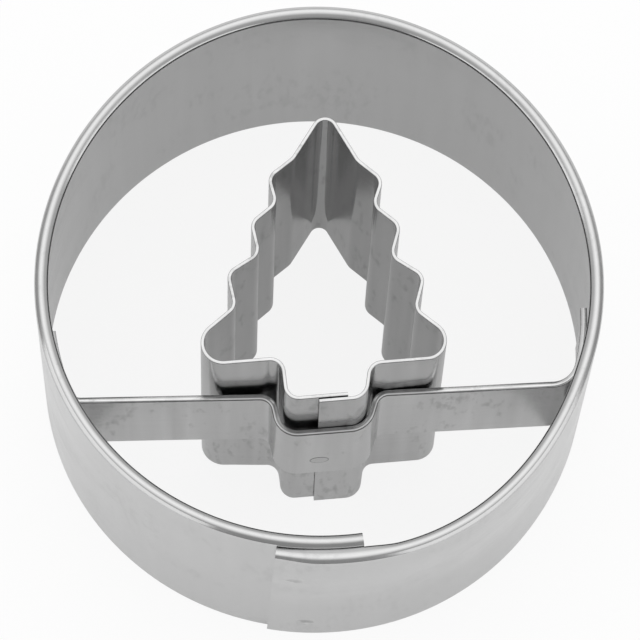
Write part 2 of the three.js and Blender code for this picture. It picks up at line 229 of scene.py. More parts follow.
class WeldSizes(bpy.types.PropertyGroup):
    """The marks that the welding tips left on the sheets."""

    diameter: length("Mark", "Diameter of a weld mark", 1.7)
    rim: length("Rim", "Height of a mark's rim above the sheet", 0.03)
    ring_turns: angles("Ring Turns", "How far the ring's welds sit right of the front", -2.2, -5)
    ring_heights: lengths("Ring Heights", "The ring's welds above the cutting edge", 3.6, 21)
    tree_heights: lengths("Tree Heights", "The tree's welds above the cutting edge", 5, 25.5)
    strap_height: length("Strap Height", "The strap's welds above the cutting edge", 13.3)
    trunk_shift: length("Trunk Shift", "The trunk's weld, left of the tree's axis", 0.35)


class SteelLooks(bpy.types.PropertyGroup):
    """The finish of the bright strip and of its welds, and the shade painted on the strip."""

    ring_steel: colour("Ring Steel", "Bright rolled strip of the ring", "c5c5c5")
    tree_steel: colour("Tree Steel", "Bright rolled strip of the tree", "cacaca")
    strap_steel: colour("Strap Steel", "Bright rolled strip of the strap", "d2d2d2")
    weld_steel: colour("Weld Steel", "Heat-dulled weld marks", "c4c4c4")
    edge_tint: colour("Edge Tint", "How bright steel is at a low angle, against plain reflection", "f3f3f3")
    roughness: share("Roughness", "Of the bright strip", 0.16)
    ring_wear: share("Ring Wear", "How strongly streaks and grime show on the ring", 0.3)
    strip_wear: share("Strip Wear", "How strongly streaks and grime show on tree and strap", 1)
    streak_dark: share("Streak Dark", "How much lines and streaks darken worn strip", 0.12)
    streak_light: share("Streak Light", "How much lines and streaks lighten worn strip", 0.1)
    grime: share("Grime", "How much specks of grime darken worn strip", 0.25)
    # Painted shade: the next two shares darken the tree's inner side and the hem's crest.
    inner_painted_shade: share("Inner Painted Shade", "How much a film of mill oil dims the tree's inner side", 0.26)
    crest_painted_shade: share("Crest Painted Shade", "How much rubbing dims the hem's crest", 0.5)
    weld_roughness: share("Weld Roughness", "Of the weld marks", 0.2)


class StageLooks(bpy.types.PropertyGroup):
    """Floor, light and camera."""

    floor: colour("Floor", "Matte white floor", "cccccc")
    floor_size: length("Floor Size", "Width of the floor", 8000)
    floor_drop: length("Floor Drop", "How far the floor lies under the cutting edges", 0.02)
    floor_glow: share("Floor Glow", "What lifts the floor towards white where it is seen or mirrored", 0.38)
    floor_white: share("Floor White", "How much of the floor is plain white to the camera", 0.8)
    room: share("Room", "Light of the room at the level of the floor", 0.36)
    sky: number("Sky", "What the soft light overhead adds to that at its brightest", 1.11, min=0)
    sky_fall: number("Sky Fall", "How fast that light fades away from its brightest part", 1.8, min=0)
    sky_tilt: angle("Sky Tilt", "How far the brightest part stands towards the back", 22)
    box_width: length("Box Width", "Of each soft box at the front", 1200)
    box_height: length("Box Height", "Of each soft box at the front", 500)
    box_distance: length("Box Distance", "From the cutter to each soft box", 1000)
    box_turns: angles("Box Turns", "How far the soft boxes stand from the front", 62, 53)
    box_rise: angle("Box Rise", "How high each soft box stands", 20)
    box_power: number("Box Power", "Of each soft box", 1.7, min=0, unit="POWER")
    camera_place: lengths("Camera Place", "Where the camera stands", -8.19, -138.05, 439.12)
    camera_heading: angle("Camera Heading", "Turn about the upright", -3.5)
    camera_tilt: angle("Camera Tilt", "Tilt from looking straight down", 18.13)
    camera_roll: angle("Camera Roll", "Turn about the line of sight", 3.42)
    camera_near: length("Camera Near", "Nearest distance that the camera shows", 10)
    camera_film: number("Camera Film", "Width of the film", 36, min=1, unit="CAMERA")
    camera_lens: number("Camera Lens", "Focal length on that film", 289.8, min=1, unit="CAMERA")


class CutterSettings(bpy.types.PropertyGroup):
    """All sizes and finishes of the cutter."""

    sheet: PointerProperty(type=SheetSizes, name="Sheet", description="Strip stock")
    ring: PointerProperty(type=RingSizes, name="Ring", description="Ring with its bead and seam")
    tree: PointerProperty(type=TreeSizes, name="Tree", description="Outline of the tree")
    strap: PointerProperty(type=StrapSizes, name="Strap", description="Bridge strap")
    weld: PointerProperty(type=WeldSizes, name="Weld", description="Weld marks")
    steel: PointerProperty(type=SteelLooks, name="Steel", description="Finish of the metal")
    stage: PointerProperty(type=StageLooks, name="Stage", description="Floor, light and camera")


def named(*groups):
    """The groups' values by their properties' names, which the trees' inputs share."""
    return {row.name: getattr(group, row.identifier) for group in groups for row in group.bl_rna.properties}


# Node trees

def feed(tree, node, inputs):
    """Sets a node's inputs, given in order or by name, each a value or the output that feeds it."""
    rows = inputs.items() if isinstance(inputs, dict) else enumerate(inputs)
    for name, value in rows:
        if isinstance(value, bpy.types.NodeSocket):
            tree.links.new(value, node.inputs[name])
        else:
            node.inputs[name].default_value = value


def add(tree, kind, inputs=(), **settings):
    """Adds a node with its settings and inputs, and returns its outputs."""
    node = tree.nodes.new(kind)
    for name, value in settings.items():
        setattr(node, name, value)
    feed(tree, node, inputs)
    return node.outputs


def shape_tree(name, **sockets):
    """A geometry tree with named inputs of each kind, and the outputs of its first node."""
    tree = bpy.data.node_groups.new(name, "GeometryNodeTree")
    tree.interface.new_socket("Geometry", in_out="OUTPUT", socket_type="NodeSocketGeometry")
    for kind, labels in {"Geometry": ["Geometry"], "Material": ["Material"], **sockets}.items():
        for label in labels:
            tree.interface.new_socket(label, in_out="INPUT", socket_type="NodeSocket" + kind)
    return tree, add(tree, "NodeGroupInput")


def end_shape_tree(tree, shape, material):
    """Shades soft bends smooth and hard edges sharp, then gives the shape its material."""
    node = partial(add, tree)
    smooth = node("GeometryNodeSetShadeSmooth", {"Geometry": shape, "Shade Smooth": True}, domain="FACE")[0]
    between = node("GeometryNodeInputMeshEdgeAngle")["Unsigned Angle"]
    edged = node("GeometryNodeSetShadeSmooth", {
        "Geometry": smooth,
        "Selection": node(MATH, (between, HARD_EDGE), operation="GREATER_THAN")[0],
        "Shade Smooth": False,
    }, domain="EDGE")[0]
    real = node("GeometryNodeRealizeInstances", {"Geometry": edged})[0]
    dressed = node("GeometryNodeSetMaterial", {"Geometry": real, "Material": material})[0]
    node("NodeGroupOutput", {"Geometry": dressed})


def carried(tree, line, section, kind, field):
    """A section carried upright along a line, and a field of the line, kept for the section's points."""
    upright = add(tree, "GeometryNodeSetCurveNormal", {"Curve": line}, mode="Z_UP")[0]
    keep = tree.nodes.new("GeometryNodeCaptureAttribute")
    keep.capture_items.new(kind, "Kept")
    feed(tree, keep, {0: upright, "Kept": field})
    outline = add(tree, "GeometryNodeMeshToCurve", {"Mesh": section})[0]
    band = add(tree, "GeometryNodeCurveToMesh", {
        "Curve": keep.outputs[0],
        "Profile Curve": outline,
        "Fill Caps": True,
    })[0]
    return band, keep.outputs["Kept"]


def wave_field(tree, given):
    """How far each point is out of true: upright waves, as hand bending leaves them."""
    node = partial(add, tree)
    place = node("GeometryNodeInputPosition")[0]
    upright = node(VECTOR, (place, (1, 1, 0.2)), **TIMES)[0]
    density = node(MATH, (1, given["Wave Length"]), operation="DIVIDE")[0]
    noise = node(NOISE, {"Vector": upright, "Scale": density, "Detail": 1})[0]
    reach = node(MATH, (given["Wave"], 2), **TIMES)[0]
    middle = node(MATH, (noise, 0.5), **LESS)[0]
    return node(MATH, (middle, reach), **TIMES)[0]


def rolled_ring_tree():
    """Carries a section clockwise round the ring and past its start. Low down, the two ends lie against each
    other. Towards the top the beads lie side by side and push the outer end out."""
    tree, given = shape_tree("Rolled Ring", Int=["Steps"], Vector=["Start", "Centre"], Float=[
        "Diameter", "Rotations", "Lap", "Lap Step", "Bead Step", "Outer Start", "Outer End", "Inner End",
        "Rise Start", "Rise End", "Inner Lean", "End Lean", "Pinch", "Pinch Share", "Pinch Start",
        "Bead Crest", "Bead Width", "Bead Gap", "Egg", "Height", "Wave", "Wave Length",
    ])
    node = partial(add, tree)
    radius = node(MATH, (given["Diameter"], 0.5), **TIMES)[0]
    circle = node("GeometryNodeCurveSpiral", {
        "Resolution": given["Steps"],
        "Rotations": given["Rotations"],
        "Start Radius": radius,
        "End Radius": radius,
        "Height": 0,
    })[0]
    travelled = node("GeometryNodeSplineParameter")["Length"]
    band, travel = carried(tree, circle, given["Geometry"], "FLOAT", travelled)

    # Towards the lap, each layer leaves the circle.
    whole = node("GeometryNodeCurveLength", {"Curve": circle})[0]
    left = node(MATH, (whole, travel), **LESS)[0]
    place = node("GeometryNodeInputPosition")[0]
    height = node("ShaderNodeSeparateXYZ", (place,))["Z"]
    rise = node(RAMP, (height, given["Rise Start"], given["Rise End"]), **SOFT)[0]
    outer = node(RAMP, (left, given["Outer Start"], given["Outer End"], 1, 0), **SOFT)[0]
    inner = node(RAMP, (travel, given["Lap"], given["Inner End"], 1, 0), **SOFT)[0]
    half_step = node(MATH, (given["Lap Step"], 0.5), **TIMES)[0]
    stand = node(RAMP, (rise, 0, 1, half_step, given["Bead Step"]))[0]
    tuck = node(RAMP, (rise, 0, 1, half_step, given["Inner Lean"]))[0]
    outwards = node(MATH, (outer, stand), **TIMES)[0]
    inwards = node(MATH, (inner, tuck), **TIMES)[0]
    shift = node(MATH, (outwards, inwards), **LESS)[0]
    flat = node(VECTOR, (place, (1, 1, 0)), **TIMES)[0]
    away = node(VECTOR, (flat,), operation="NORMALIZE")[0]

    # The outer bead is rolled less tightly at the lap: its inner side reaches over to the inner bead.
    reach = node(VECTOR, (flat,), operation="LENGTH")["Value"]
    depth = node(MATH, (radius, reach), **LESS)[0]
    opened = node(RAMP, (depth, given["Bead Crest"], given["Bead Width"], 0, given["Bead Gap"]))[0]
    loose = node(RAMP, (left, given["Lap"], given["Outer Start"], opened, 0), **SOFT)[0]
    joined = node(MATH, (shift, loose), **LESS)[0]

    # Towards its end the outer bead is pressed narrower, lower and against the inner one.
    pinch = node(RAMP, (left, 0, given["Pinch"], given["Pinch Share"], 0), **SOFT)[0]
    spare = node(MATH, (given["Bead Width"], depth), **LESS)[0]
    narrowed = node(MATH, (spare, pinch), **TIMES)[0]
    tucked = node(RAMP, (height, given["Pinch Start"], given["Rise End"], 0, narrowed), **SOFT)[0]
    narrow = node(MATH, (joined, tucked), **LESS)[0]
    waved = node(MATH, (narrow, wave_field(tree, given)))[0]
    offset = node(VECTOR, {0: away, "Scale": waved}, **SCALED)[0]
    over = node(MATH, (height, given["Rise End"]), **LESS)[0]
    in_bead = node(MATH, (over, 0), operation="MAXIMUM")[0]
    lower = node(MATH, (in_bead, pinch), **TIMES)[0]
    down = node("ShaderNodeCombineXYZ", {"Z": node(MATH, (lower, -1), **TIMES)[0]})[0]

    # The outer end is cut aslant: its foot runs on further than its bead.
    onwards = node(RAMP, (left, 0, given["Outer Start"], given["End Lean"], 0), **SOFT)[0]
    low = node(RAMP, (height, 0, given["Height"], 1, 0))[0]
    run_on = node(MATH, (onwards, low), **TIMES)[0]
    ahead = node(VECTOR, (away, (0, 0, 1)), operation="CROSS_PRODUCT")[0]
    slant = node(VECTOR, {0: ahead, "Scale": run_on}, **SCALED)[0]
    moved = node(VECTOR, (offset, slant))[0]
    pressed = node(VECTOR, (moved, down))[0]
    lapped = node("GeometryNodeSetPosition", {"Geometry": band, "Offset": pressed})[0]
    placed = node("GeometryNodeTransform", {
        "Geometry": lapped,
        "Translation": given["Centre"],
        "Rotation": given["Start"],
    })[0]

    # Beside the seam the rim is drawn forward, most of all halfway to the sides, and its back is drawn in.
    from_centre = node(VECTOR, (place, given["Centre"]), **LESS)[0]
    level = node(VECTOR, (from_centre, (1, 1, 0)), **TIMES)[0]
    outward = node(VECTOR, (level,), operation="NORMALIZE")[0]
    part = node("ShaderNodeSeparateXYZ", (outward,))
    aside = node(MATH, (part["X"], 2), operation="POWER")[0]
    to_front = node(MATH, (part["Y"], aside), **TIMES)[0]
    forward = node(MATH, (given["Egg"], -1), **TIMES)[0]
    most = node(RAMP, (height, 0, given["Height"], 0, forward))[0]
    drawn = node(MATH, (to_front, most), **TIMES)[0]
    egg = node(VECTOR, {0: outward, "Scale": drawn}, **SCALED)[0]
    shaped = node("GeometryNodeSetPosition", {"Geometry": placed, "Offset": egg})[0]
    end_shape_tree(tree, shaped, given["Material"])
    return tree


def bent_strip_tree():
    """Carries a section along a bent line, marks where shade is painted, and lets the sheet lean and wave."""
    tree, given = shape_tree("Bent Strip", Object=["Section"], Float=[
        "Step", "Foot Lean", "Lean Foot", "Lean Start", "Lean End", "Lean Middle", "Shoulder Lean",
        "Shoulder Reach", "Trunk Start", "Trunk End", "Foot Flare", "Flare Top", "Inner Side", "Crest Shade Reach",
        "Crest From", "Crest Full", "Arm Middle", "Arm Unshaded", "Arm Shaded", "Height", "Wave", "Wave Length",
    ])
    node = partial(add, tree)
    line = node("GeometryNodeMeshToCurve", {"Mesh": given["Geometry"]})[0]
    even = node("GeometryNodeResampleCurve", {"Curve": line, "Length": given["Step"]}, mode="LENGTH")[0]
    outline = node("GeometryNodeObjectInfo", {"Object": given["Section"]})["Geometry"]
    normal = node("GeometryNodeInputNormal")[0]
    band, side = carried(tree, even, outline, "VECTOR", normal)
    place = node("ShaderNodeSeparateXYZ", (node("GeometryNodeInputPosition")[0],))

    # Painted shade: the inner side, told by the line's own normal, is marked to be darkened, and so is a
    # hem's level crest, except on the middle of the two arms.
    across = node(VECTOR, (side, normal), operation="DOT_PRODUCT")["Value"]
    inner = node(MATH, (across, given["Inner Side"]), **TIMES)[0]
    tilt = node("ShaderNodeSeparateXYZ", (normal,))["Z"]
    level = node(MATH, (tilt,), **UNSIGNED)[0]
    crest = node(RAMP, (level, given["Crest From"], given["Crest Full"], 0, given["Crest Shade Reach"]))[0]
    out = node(MATH, (place["X"],), **UNSIGNED)[0]
    along = node(MATH, (out, given["Arm Middle"]), **LESS)[0]
    off_arm = node(MATH, (along,), **UNSIGNED)[0]
    painted_darker = node(RAMP, (off_arm, given["Arm Unshaded"], given["Arm Shaded"], 0, crest), **SOFT)[0]
    marked = node("GeometryNodeStoreNamedAttribute", {
        "Geometry": band,
        "Name": "dulled",
        "Value": node(MATH, (inner, painted_darker))[0],
    }, data_type="FLOAT", domain="FACE")[0]

    # The front leans: its foot stands forward, more so at one shoulder, and flares below the strap.
    beside = node(MATH, (place["X"], given["Lean Middle"]), **LESS)[0]
    apart = node(MATH, (beside,), **UNSIGNED)[0]
    extra = node(RAMP, (apart, 0, given["Shoulder Reach"], given["Shoulder Lean"], 0), **SOFT)[0]
    behind = node(RAMP, (place["Y"], given["Trunk Start"], given["Trunk End"], extra, 0), **SOFT)[0]
    most = node(MATH, (given["Foot Lean"], behind))[0]
    from_sides = (place["Y"], given["Lean Start"], given["Lean End"], 0)
    in_front = node(RAMP, (*from_sides, most), **SOFT)[0]
    flare = node(RAMP, (*from_sides, given["Foot Flare"]), **SOFT)[0]
    low = node(RAMP, (place["Z"], given["Lean Foot"], given["Height"], -1, 0))[0]
    at_foot = node(RAMP, (place["Z"], 0, given["Flare Top"], -1, 0))[0]
    leant = node(MATH, (in_front, low), **TIMES)[0]
    forward = node(MATH, (flare, at_foot, leant), operation="MULTIPLY_ADD")[0]
    lean = node("ShaderNodeCombineXYZ", {"Y": forward})[0]
    wave = node(VECTOR, {0: side, "Scale": wave_field(tree, given)}, **SCALED)[0]
    moved = node(VECTOR, (wave, lean))[0]
    shaped = node("GeometryNodeSetPosition", {"Geometry": marked, "Offset": moved})[0]
    end_shape_tree(tree, shaped, given["Material"])
    return tree


def weld_marks_tree():
    """Sets a mark on each point, facing the way the point's own direction says, each a little different."""
    tree, given = shape_tree("Weld Marks", Object=["Mark"])
    node = partial(add, tree)
    facing = node("GeometryNodeInputNamedAttribute", {"Name": "facing"}, data_type="FLOAT_VECTOR")[0]
    smallest = (0.92, 0.86, 0.9)
    largest = (1.06, 1.04, 1.1)
    drawn = {"Min": smallest, "Max": largest, "Seed": 4}
    marks = node("GeometryNodeInstanceOnPoints", {
        "Points": given["Geometry"],
        "Instance": node("GeometryNodeObjectInfo", {"Object": given["Mark"]})["Geometry"],
        "Rotation": node("FunctionNodeAlignRotationToVector", {"Vector": facing}, axis="Z")[0],
        "Scale": node("FunctionNodeRandomValue", drawn, data_type="FLOAT_VECTOR")[0],
    })[0]
    end_shape_tree(tree, marks, given["Material"])
    return tree


def grown(name, base, tree, values):
    """Runs a tree on a base mesh and returns its result as a plain mesh at the origin."""
    piece = bpy.data.objects.new(name, base)
    bpy.context.scene.collection.objects.link(piece)
    modifier = piece.modifiers.new(tree.name, "NODES")
    modifier.node_group = tree
    for socket in tree.interface.items_tree:
        if socket.in_out == "INPUT" and socket.name in values:
            modifier[socket.identifier] = values[socket.name]
    graph = bpy.context.evaluated_depsgraph_get()
    mesh = bpy.data.meshes.new_from_object(piece.evaluated_get(graph))
    piece.modifiers.remove(modifier)
    piece.data = mesh
    mesh.name = name
    bpy.data.meshes.remove(base)
    if not mesh.polygons:
        raise RuntimeError(name + " came out empty")
    shell = bmesh.new()
    shell.from_mesh(mesh)
    bmesh.ops.recalc_face_normals(shell, faces=shell.faces)
    shell.to_mesh(mesh)
    shell.free()
    return piece


# Lines and sections

def levels(low, high, count):
    """Even steps from low to high, both included."""
    return [low + (high - low) * i / count for i in range(count + 1)]


def arc(x, y, radius, start, end, steps):
    """Points of an arc, both ends included."""
    return [(x + radius * math.cos(turn), y + radius * math.sin(turn)) for turn in levels(start, end, steps)]


def bend(x, y, radius, start, end):
    """Points of a bend in a strip."""
    return arc(x, y, radius, start, end, max(2, math.ceil(math.degrees(abs(end - start)) / BEND_STEP)))


def rounded_line(corners):
    """Straight runs between corners that have a place and a radius. The two ends have no radius."""
    line = [corners[0]]
    for before, (x, y, radius), after in zip(corners, corners[1:], corners[2:]):
        corner = Vector((x, y))
        back = (Vector(before[:2]) - corner).normalized()
        ahead = (Vector(after[:2]) - corner).normalized()
        half = back.angle(ahead) / 2
        middle = corner + (back + ahead).normalized() * (radius / math.sin(half))
        first = corner + back * (radius / math.tan(half)) - middle
        start = math.atan2(first.y, first.x)
        turn = math.pi - 2 * half
        if back.cross(ahead) > 0:
            turn = -turn
        line += bend(middle.x, middle.y, radius, start, start + turn)
    return line + [corners[-1]]


def wire(name, points, closed=False):
    """A mesh of edges along flat points."""
    edges = [(i, i + 1) for i in range(len(points) - 1)]
    if closed:
        edges.append((len(points) - 1, 0))
    mesh = bpy.data.meshes.new(name)
    mesh.from_pydata([(x, y, 0) for x, y in points], edges, [])
    return mesh


def section_wire(name, section):
    """A section of sideways and height as a closed wire, turned the way it is carried along a line."""
    return wire(name, [(sideways, -height) for sideways, height in section], closed=True)


def strip_foot(left, right, bottom, edge):
    """The two rounded edges at the foot of a strip, from left to right."""
    return [
        *arc(left + edge, bottom + edge, edge, math.pi, 1.5 * math.pi, 3),
        *arc(right - edge, bottom + edge, edge, 1.5 * math.pi, 2 * math.pi, 3),
    ]


def curl_axis(sheet, ring):
    """The axis of the bead's curl, inwards from the wall's outer face and up."""
    sine = math.sin(ring.bead_lean)
    cosine = math.cos(ring.bead_lean)
    step = ring.bead_crest - ring.bead_curl
    inwards = ring.bead_crest + step * sine + ring.bead_flank * cosine
    return inwards, sheet.height - ring.bead_crest + step * cosine - ring.bead_flank * sine


def bead_width(sheet, ring):
    """The bead, from the wall's outer face inwards."""
    return curl_axis(sheet, ring)[0] + ring.bead_curl


def bead_step(sheet, ring):
    """How far the outer bead stands off the circle at the lap."""
    return bead_width(sheet, ring) + ring.bead_gap - ring.inner_lean


def lap_rise(sheet, ring, height):
    """How far the ring's ends have gone, at a height, from flat to bead by bead, and how fast they go."""
    run = sheet.height - bead_width(sheet, ring) - ring.rise_start
    gone = min(max((height - ring.rise_start) / run, 0), 1)
    return gone * gone * (3 - 2 * gone), 6 * gone * (1 - gone) / run


def bead_outside(sheet, ring):
    """The bead's outer side, from the crest to the wall: a bend, a flat run and a bend."""
    sine = math.sin(ring.face_lean)
    cosine = math.cos(ring.face_lean)
    foot = ring.face_foot
    turn = math.pi / 2 + ring.face_lean
    top = (ring.bead_crest - foot * (1 - sine) - ring.bead_face * cosine) / sine
    low = sheet.height - top * (1 - cosine) - ring.bead_face * sine - foot * cosine
    return [
        *arc(ring.bead_crest, sheet.height - top, top, math.pi / 2, turn, 8),
        *arc(foot, low, foot, turn, math.pi, 10),
    ]


def ring_section(sheet, ring):
    """The ring's wall with its outer face at 0, and its top edge rolled inwards to a bead."""
    inside = sheet.thickness
    crest = ring.bead_crest
    curl = ring.bead_curl
    axis = sheet.height - crest
    curl_x, curl_z = curl_axis(sheet, ring)
    flank = math.pi / 2 - ring.bead_lean
    wall = [2 * sheet.edge, *levels(4 * sheet.edge, ring.rise_start, 8)[:-1]]
    wall += levels(ring.rise_start, sheet.height - bead_width(sheet, ring), 16)
    return [
        *strip_foot(0, inside, 0, sheet.edge),
        *[(inside, level) for level in wall],
        *arc(crest, axis, crest - inside, math.pi, flank, 12),
        *arc(curl_x, curl_z, curl - inside, flank, -ring.bead_end, 12),
        *arc(curl_x, curl_z, curl, -ring.bead_end, flank, 24),
        *arc(crest, axis, crest, flank, math.pi / 2, 12)[:-1],
        *bead_outside(sheet, ring),
        *[(0, level) for level in reversed(wall)],
    ]


def tree_section(sheet):
    """The tree's plain strip, with all four edges rounded."""
    half = sheet.thickness / 2
    edge = sheet.edge
    top = sheet.height - edge
    wall = [2 * edge, *levels(4 * edge, sheet.height - 4 * edge, 8), sheet.height - 2 * edge]
    return [
        *strip_foot(-half, half, 0, edge),
        *[(half, level) for level in wall],
        *arc(half - edge, top, edge, 0, math.pi / 2, 3),
        *arc(edge - half, top, edge, math.pi / 2, math.pi, 3),
        *[(-half, level) for level in reversed(wall)],
    ]


def hem_thickness(strap):
    """The two layers of the folded edge and the air between them."""
    return 2 * strap.thickness + strap.hem_gap


def strap_section(sheet, strap):
    """The strap, its front face at 0, with its top edge folded down the back and the crest near the front."""
    hem = hem_thickness(strap)
    crest = strap.crest
    top = sheet.height - strap.drop
    bottom = top - strap.height
    axis = top - crest
    edge = sheet.edge
    hem_bottom = top - strap.hem_depth
    fold = arc(-crest, axis, crest, 0, strap.crest_turn, 12)
    slope_x, slope_z = fold[-1]
    run = hem + slope_x
    fall = run / math.tan(math.pi - strap.crest_turn)
    shoulder = slope_z - fall
    inner_top = shoulder - strap.thickness / 2
    hem_inside = strap.thickness - hem
    front = [bottom + 2 * edge, *levels(bottom + 4 * edge, axis - 2 * edge, 6), axis - edge]
    back = [bottom + 2 * edge, *levels(bottom + 4 * edge, inner_top, 6)]
    return [
        *strip_foot(-strap.thickness, 0, bottom, edge),
        *[(0, level) for level in front],
        *fold,
        *[(slope_x - part * run, slope_z - part * fall) for part in (0.1, 0.9)],
        (-hem, shoulder - 0.1 * fall),
        (-hem, hem_bottom + 2 * edge),
        *strip_foot(-hem, hem_inside, hem_bottom, edge),
        (hem_inside, hem_bottom + 2 * edge),
        (hem_inside, inner_top),
        *[(-strap.thickness, level) for level in reversed(back)],
    ]


def tree_side(tree, side):
    """The tree's left side, -1, or right side, 1, from under the tip to the bend beside the trunk."""
    right = int(side > 0)
    lower = right * tree.right_drop
    skew = side * math.tan(tree.front_turn)
    line = [(tree.flare_x, tree.flare_y - lower, tree.flare_radius)]
    for reach, y, drop in zip(tree.tier_reach, tree.tier_y, tree.tier_drop):
        line.append((reach, y - lower, tree.tier_radius))
        line.append((reach - tree.insets[right], y - lower - drop, tree.tier_radius))
    bough = (tree.bough_corners[right], tree.bough_radii[right])
    for x, radius in (bough, (tree.trunk_top, tree.shoulder_radius)):
        line.append((x, tree.bough_front + (x - tree.bough_middle) * skew, radius))
    return [(side * x, y, radius) for x, y, radius in line]


def trunk_front(settings, x, off):
    """The trunk's front at x from the axis, a distance off the inner layer's middle."""
    tree = settings.tree
    return tree.trunk_front - off + (x - tree.lap_shift) * math.tan(tree.front_turn)


def lap_step(settings):
    """From the middle of one layer of a lap to the middle of the other."""
    return settings.sheet.thickness + settings.sheet.lap_gap


def tree_line(settings):
    """The tree's outline, clockwise from the lap's inner end on the trunk's front to its outer end."""
    tree = settings.tree
    step = lap_step(settings)
    inner_end = tree.lap_shift + tree.lap / 2
    outer_end = tree.lap_shift - tree.lap / 2
    foot = tree.trunk_foot
    corners = [
        (inner_end, trunk_front(settings, inner_end, 0)),
        (-foot, trunk_front(settings, -foot, 0), tree.trunk_radii[0]),
        *reversed(tree_side(tree, -1)),
        (0, tree.tip_y, tree.tip_radius),
        *tree_side(tree, 1),
        (foot, trunk_front(settings, foot, step), tree.trunk_radii[1]),
        (outer_end, trunk_front(settings, outer_end, step)),
    ]
    return [(x + tree.shift, y) for x, y in rounded_line(corners)]


def stand_off(settings, clearance):
    """From the middle of the tree's sheet to the strap's front face."""
    return settings.sheet.thickness / 2 + clearance + hem_thickness(settings.strap)


def arm_y(settings):
    """The arms' front face at the tree's axis."""
    return settings.tree.bough_front - stand_off(settings, settings.strap.bough_clearance)


def strap_front(settings, x):
    """The strap's front face before the trunk, at x from the axis."""
    clearance = settings.strap.trunk_clearance
    return trunk_front(settings, x, lap_step(settings) + stand_off(settings, clearance))


class TabBend:
    """The bend from an arm to its tab, behind the arm's line and touching the tab's circle from inside."""

    def __init__(self, settings, side):
        strap = settings.strap
        right = int(side > 0)
        turn = strap.turns[right]
        tab_bend = strap.bends[right]
        self.radius = settings.ring.diameter / 2 - settings.sheet.thickness - strap.tabs[right]
        along = Vector((math.cos(turn), math.sin(turn)))
        behind = Vector((-along.y, along.x))
        first = Vector((settings.tree.shift, arm_y(settings))) + behind * tab_bend
        foot = first.dot(along)
        room = self.radius - tab_bend
        travel = side * math.sqrt(foot * foot - first.length_squared + room * room) - foot
        centre = first + along * travel
        start = math.atan2(centre.y, centre.x) % (2 * math.pi)
        end = start + side * strap.tab_lengths[right] / self.radius
        self.middle = (start + end) / 2
        self.line = bend(centre.x, centre.y, tab_bend, start, turn + 1.5 * math.pi)
        self.tab = []
        for part in levels(0, 1, 12):
            at = start + (end - start) * part
            reach = self.radius - strap.splays[right] * part * part
            self.tab.append((reach * math.cos(at), reach * math.sin(at)))


def strap_line(settings):
    """The strap's front face, from the left tab's end to the right tab's end."""
    axis = settings.tree.shift
    strap = settings.strap
    arms = arm_y(settings)
    left = TabBend(settings, -1)
    right = TabBend(settings, 1)
    halves = []
    rows = zip((-1, 1), (left, right), strap.turns, strap.feet, strap.foot_radii)
    for side, tab, turn, foot, radius in rows:
        shoulder = side * strap.shoulder
        halves.append([
            tab.line[-1],
            (axis + shoulder, arms + shoulder * math.tan(turn), strap.shoulder_radius),
            (axis + side * foot, strap_front(settings, side * foot), radius),
        ])
    return [
        *reversed(left.tab),
        *left.line[1:-1],
        *rounded_line([*halves[0], *reversed(halves[1])]),
        *reversed(right.line[1:-1]),
        *right.tab,
    ]


def mark_mesh(diameter, rim):
    """A weld mark: a flat dish inside a scorched rim that runs out into the sheet, closed below."""
    sides = 32
    # Radius and height as shares of the mark's own, then how far a circle belongs to the edge and the heart.
    profile = [
        (0.5, 0.4, 0, 1),
        (0.82, 0.4, 0, 0.7),
        (0.89, 0.3, 1, 0.4),
        (0.95, 0.4, 1, 0),
        (1, -0.9, 0.2, 0),
    ]
    vertices = [(0, 0, profile[0][1] * rim)]
    edge = [0]
    heart = [1]
    for radius, height, in_edge, in_heart in profile:
        circle = arc(0, 0, radius * diameter / 2, 0, 2 * math.pi, sides)[:-1]
        vertices += [(x, y, height * rim) for x, y in circle]
        edge += [in_edge] * sides
        heart += [in_heart] * sides
    bottom = len(vertices)
    vertices.append((0, 0, profile[-1][1] * rim))
    faces = []
    for i in range(sides):
        following = (i + 1) % sides
        faces.append((0, 1 + i, 1 + following))
        for low in range(1, bottom - sides, sides):
            faces.append((low + i, low + sides + i, low + sides + following, low + following))
        last = bottom - sides
        faces.append((bottom, last + following, last + i))
    mesh = bpy.data.meshes.new("weld_mark")
    mesh.from_pydata(vertices, [], faces)
    mesh.attributes.new("edge", "FLOAT", "POINT").data.foreach_set("value", edge + [0])
    mesh.attributes.new("heart", "FLOAT", "POINT").data.foreach_set("value", heart + [0])
    return mesh


# Materials

def new_material(name):
    """A material, its node tree and its shader."""
    material = bpy.data.materials.new(name)
    material.use_nodes = True
    return material, material.node_tree, material.node_tree.nodes["Principled BSDF"]


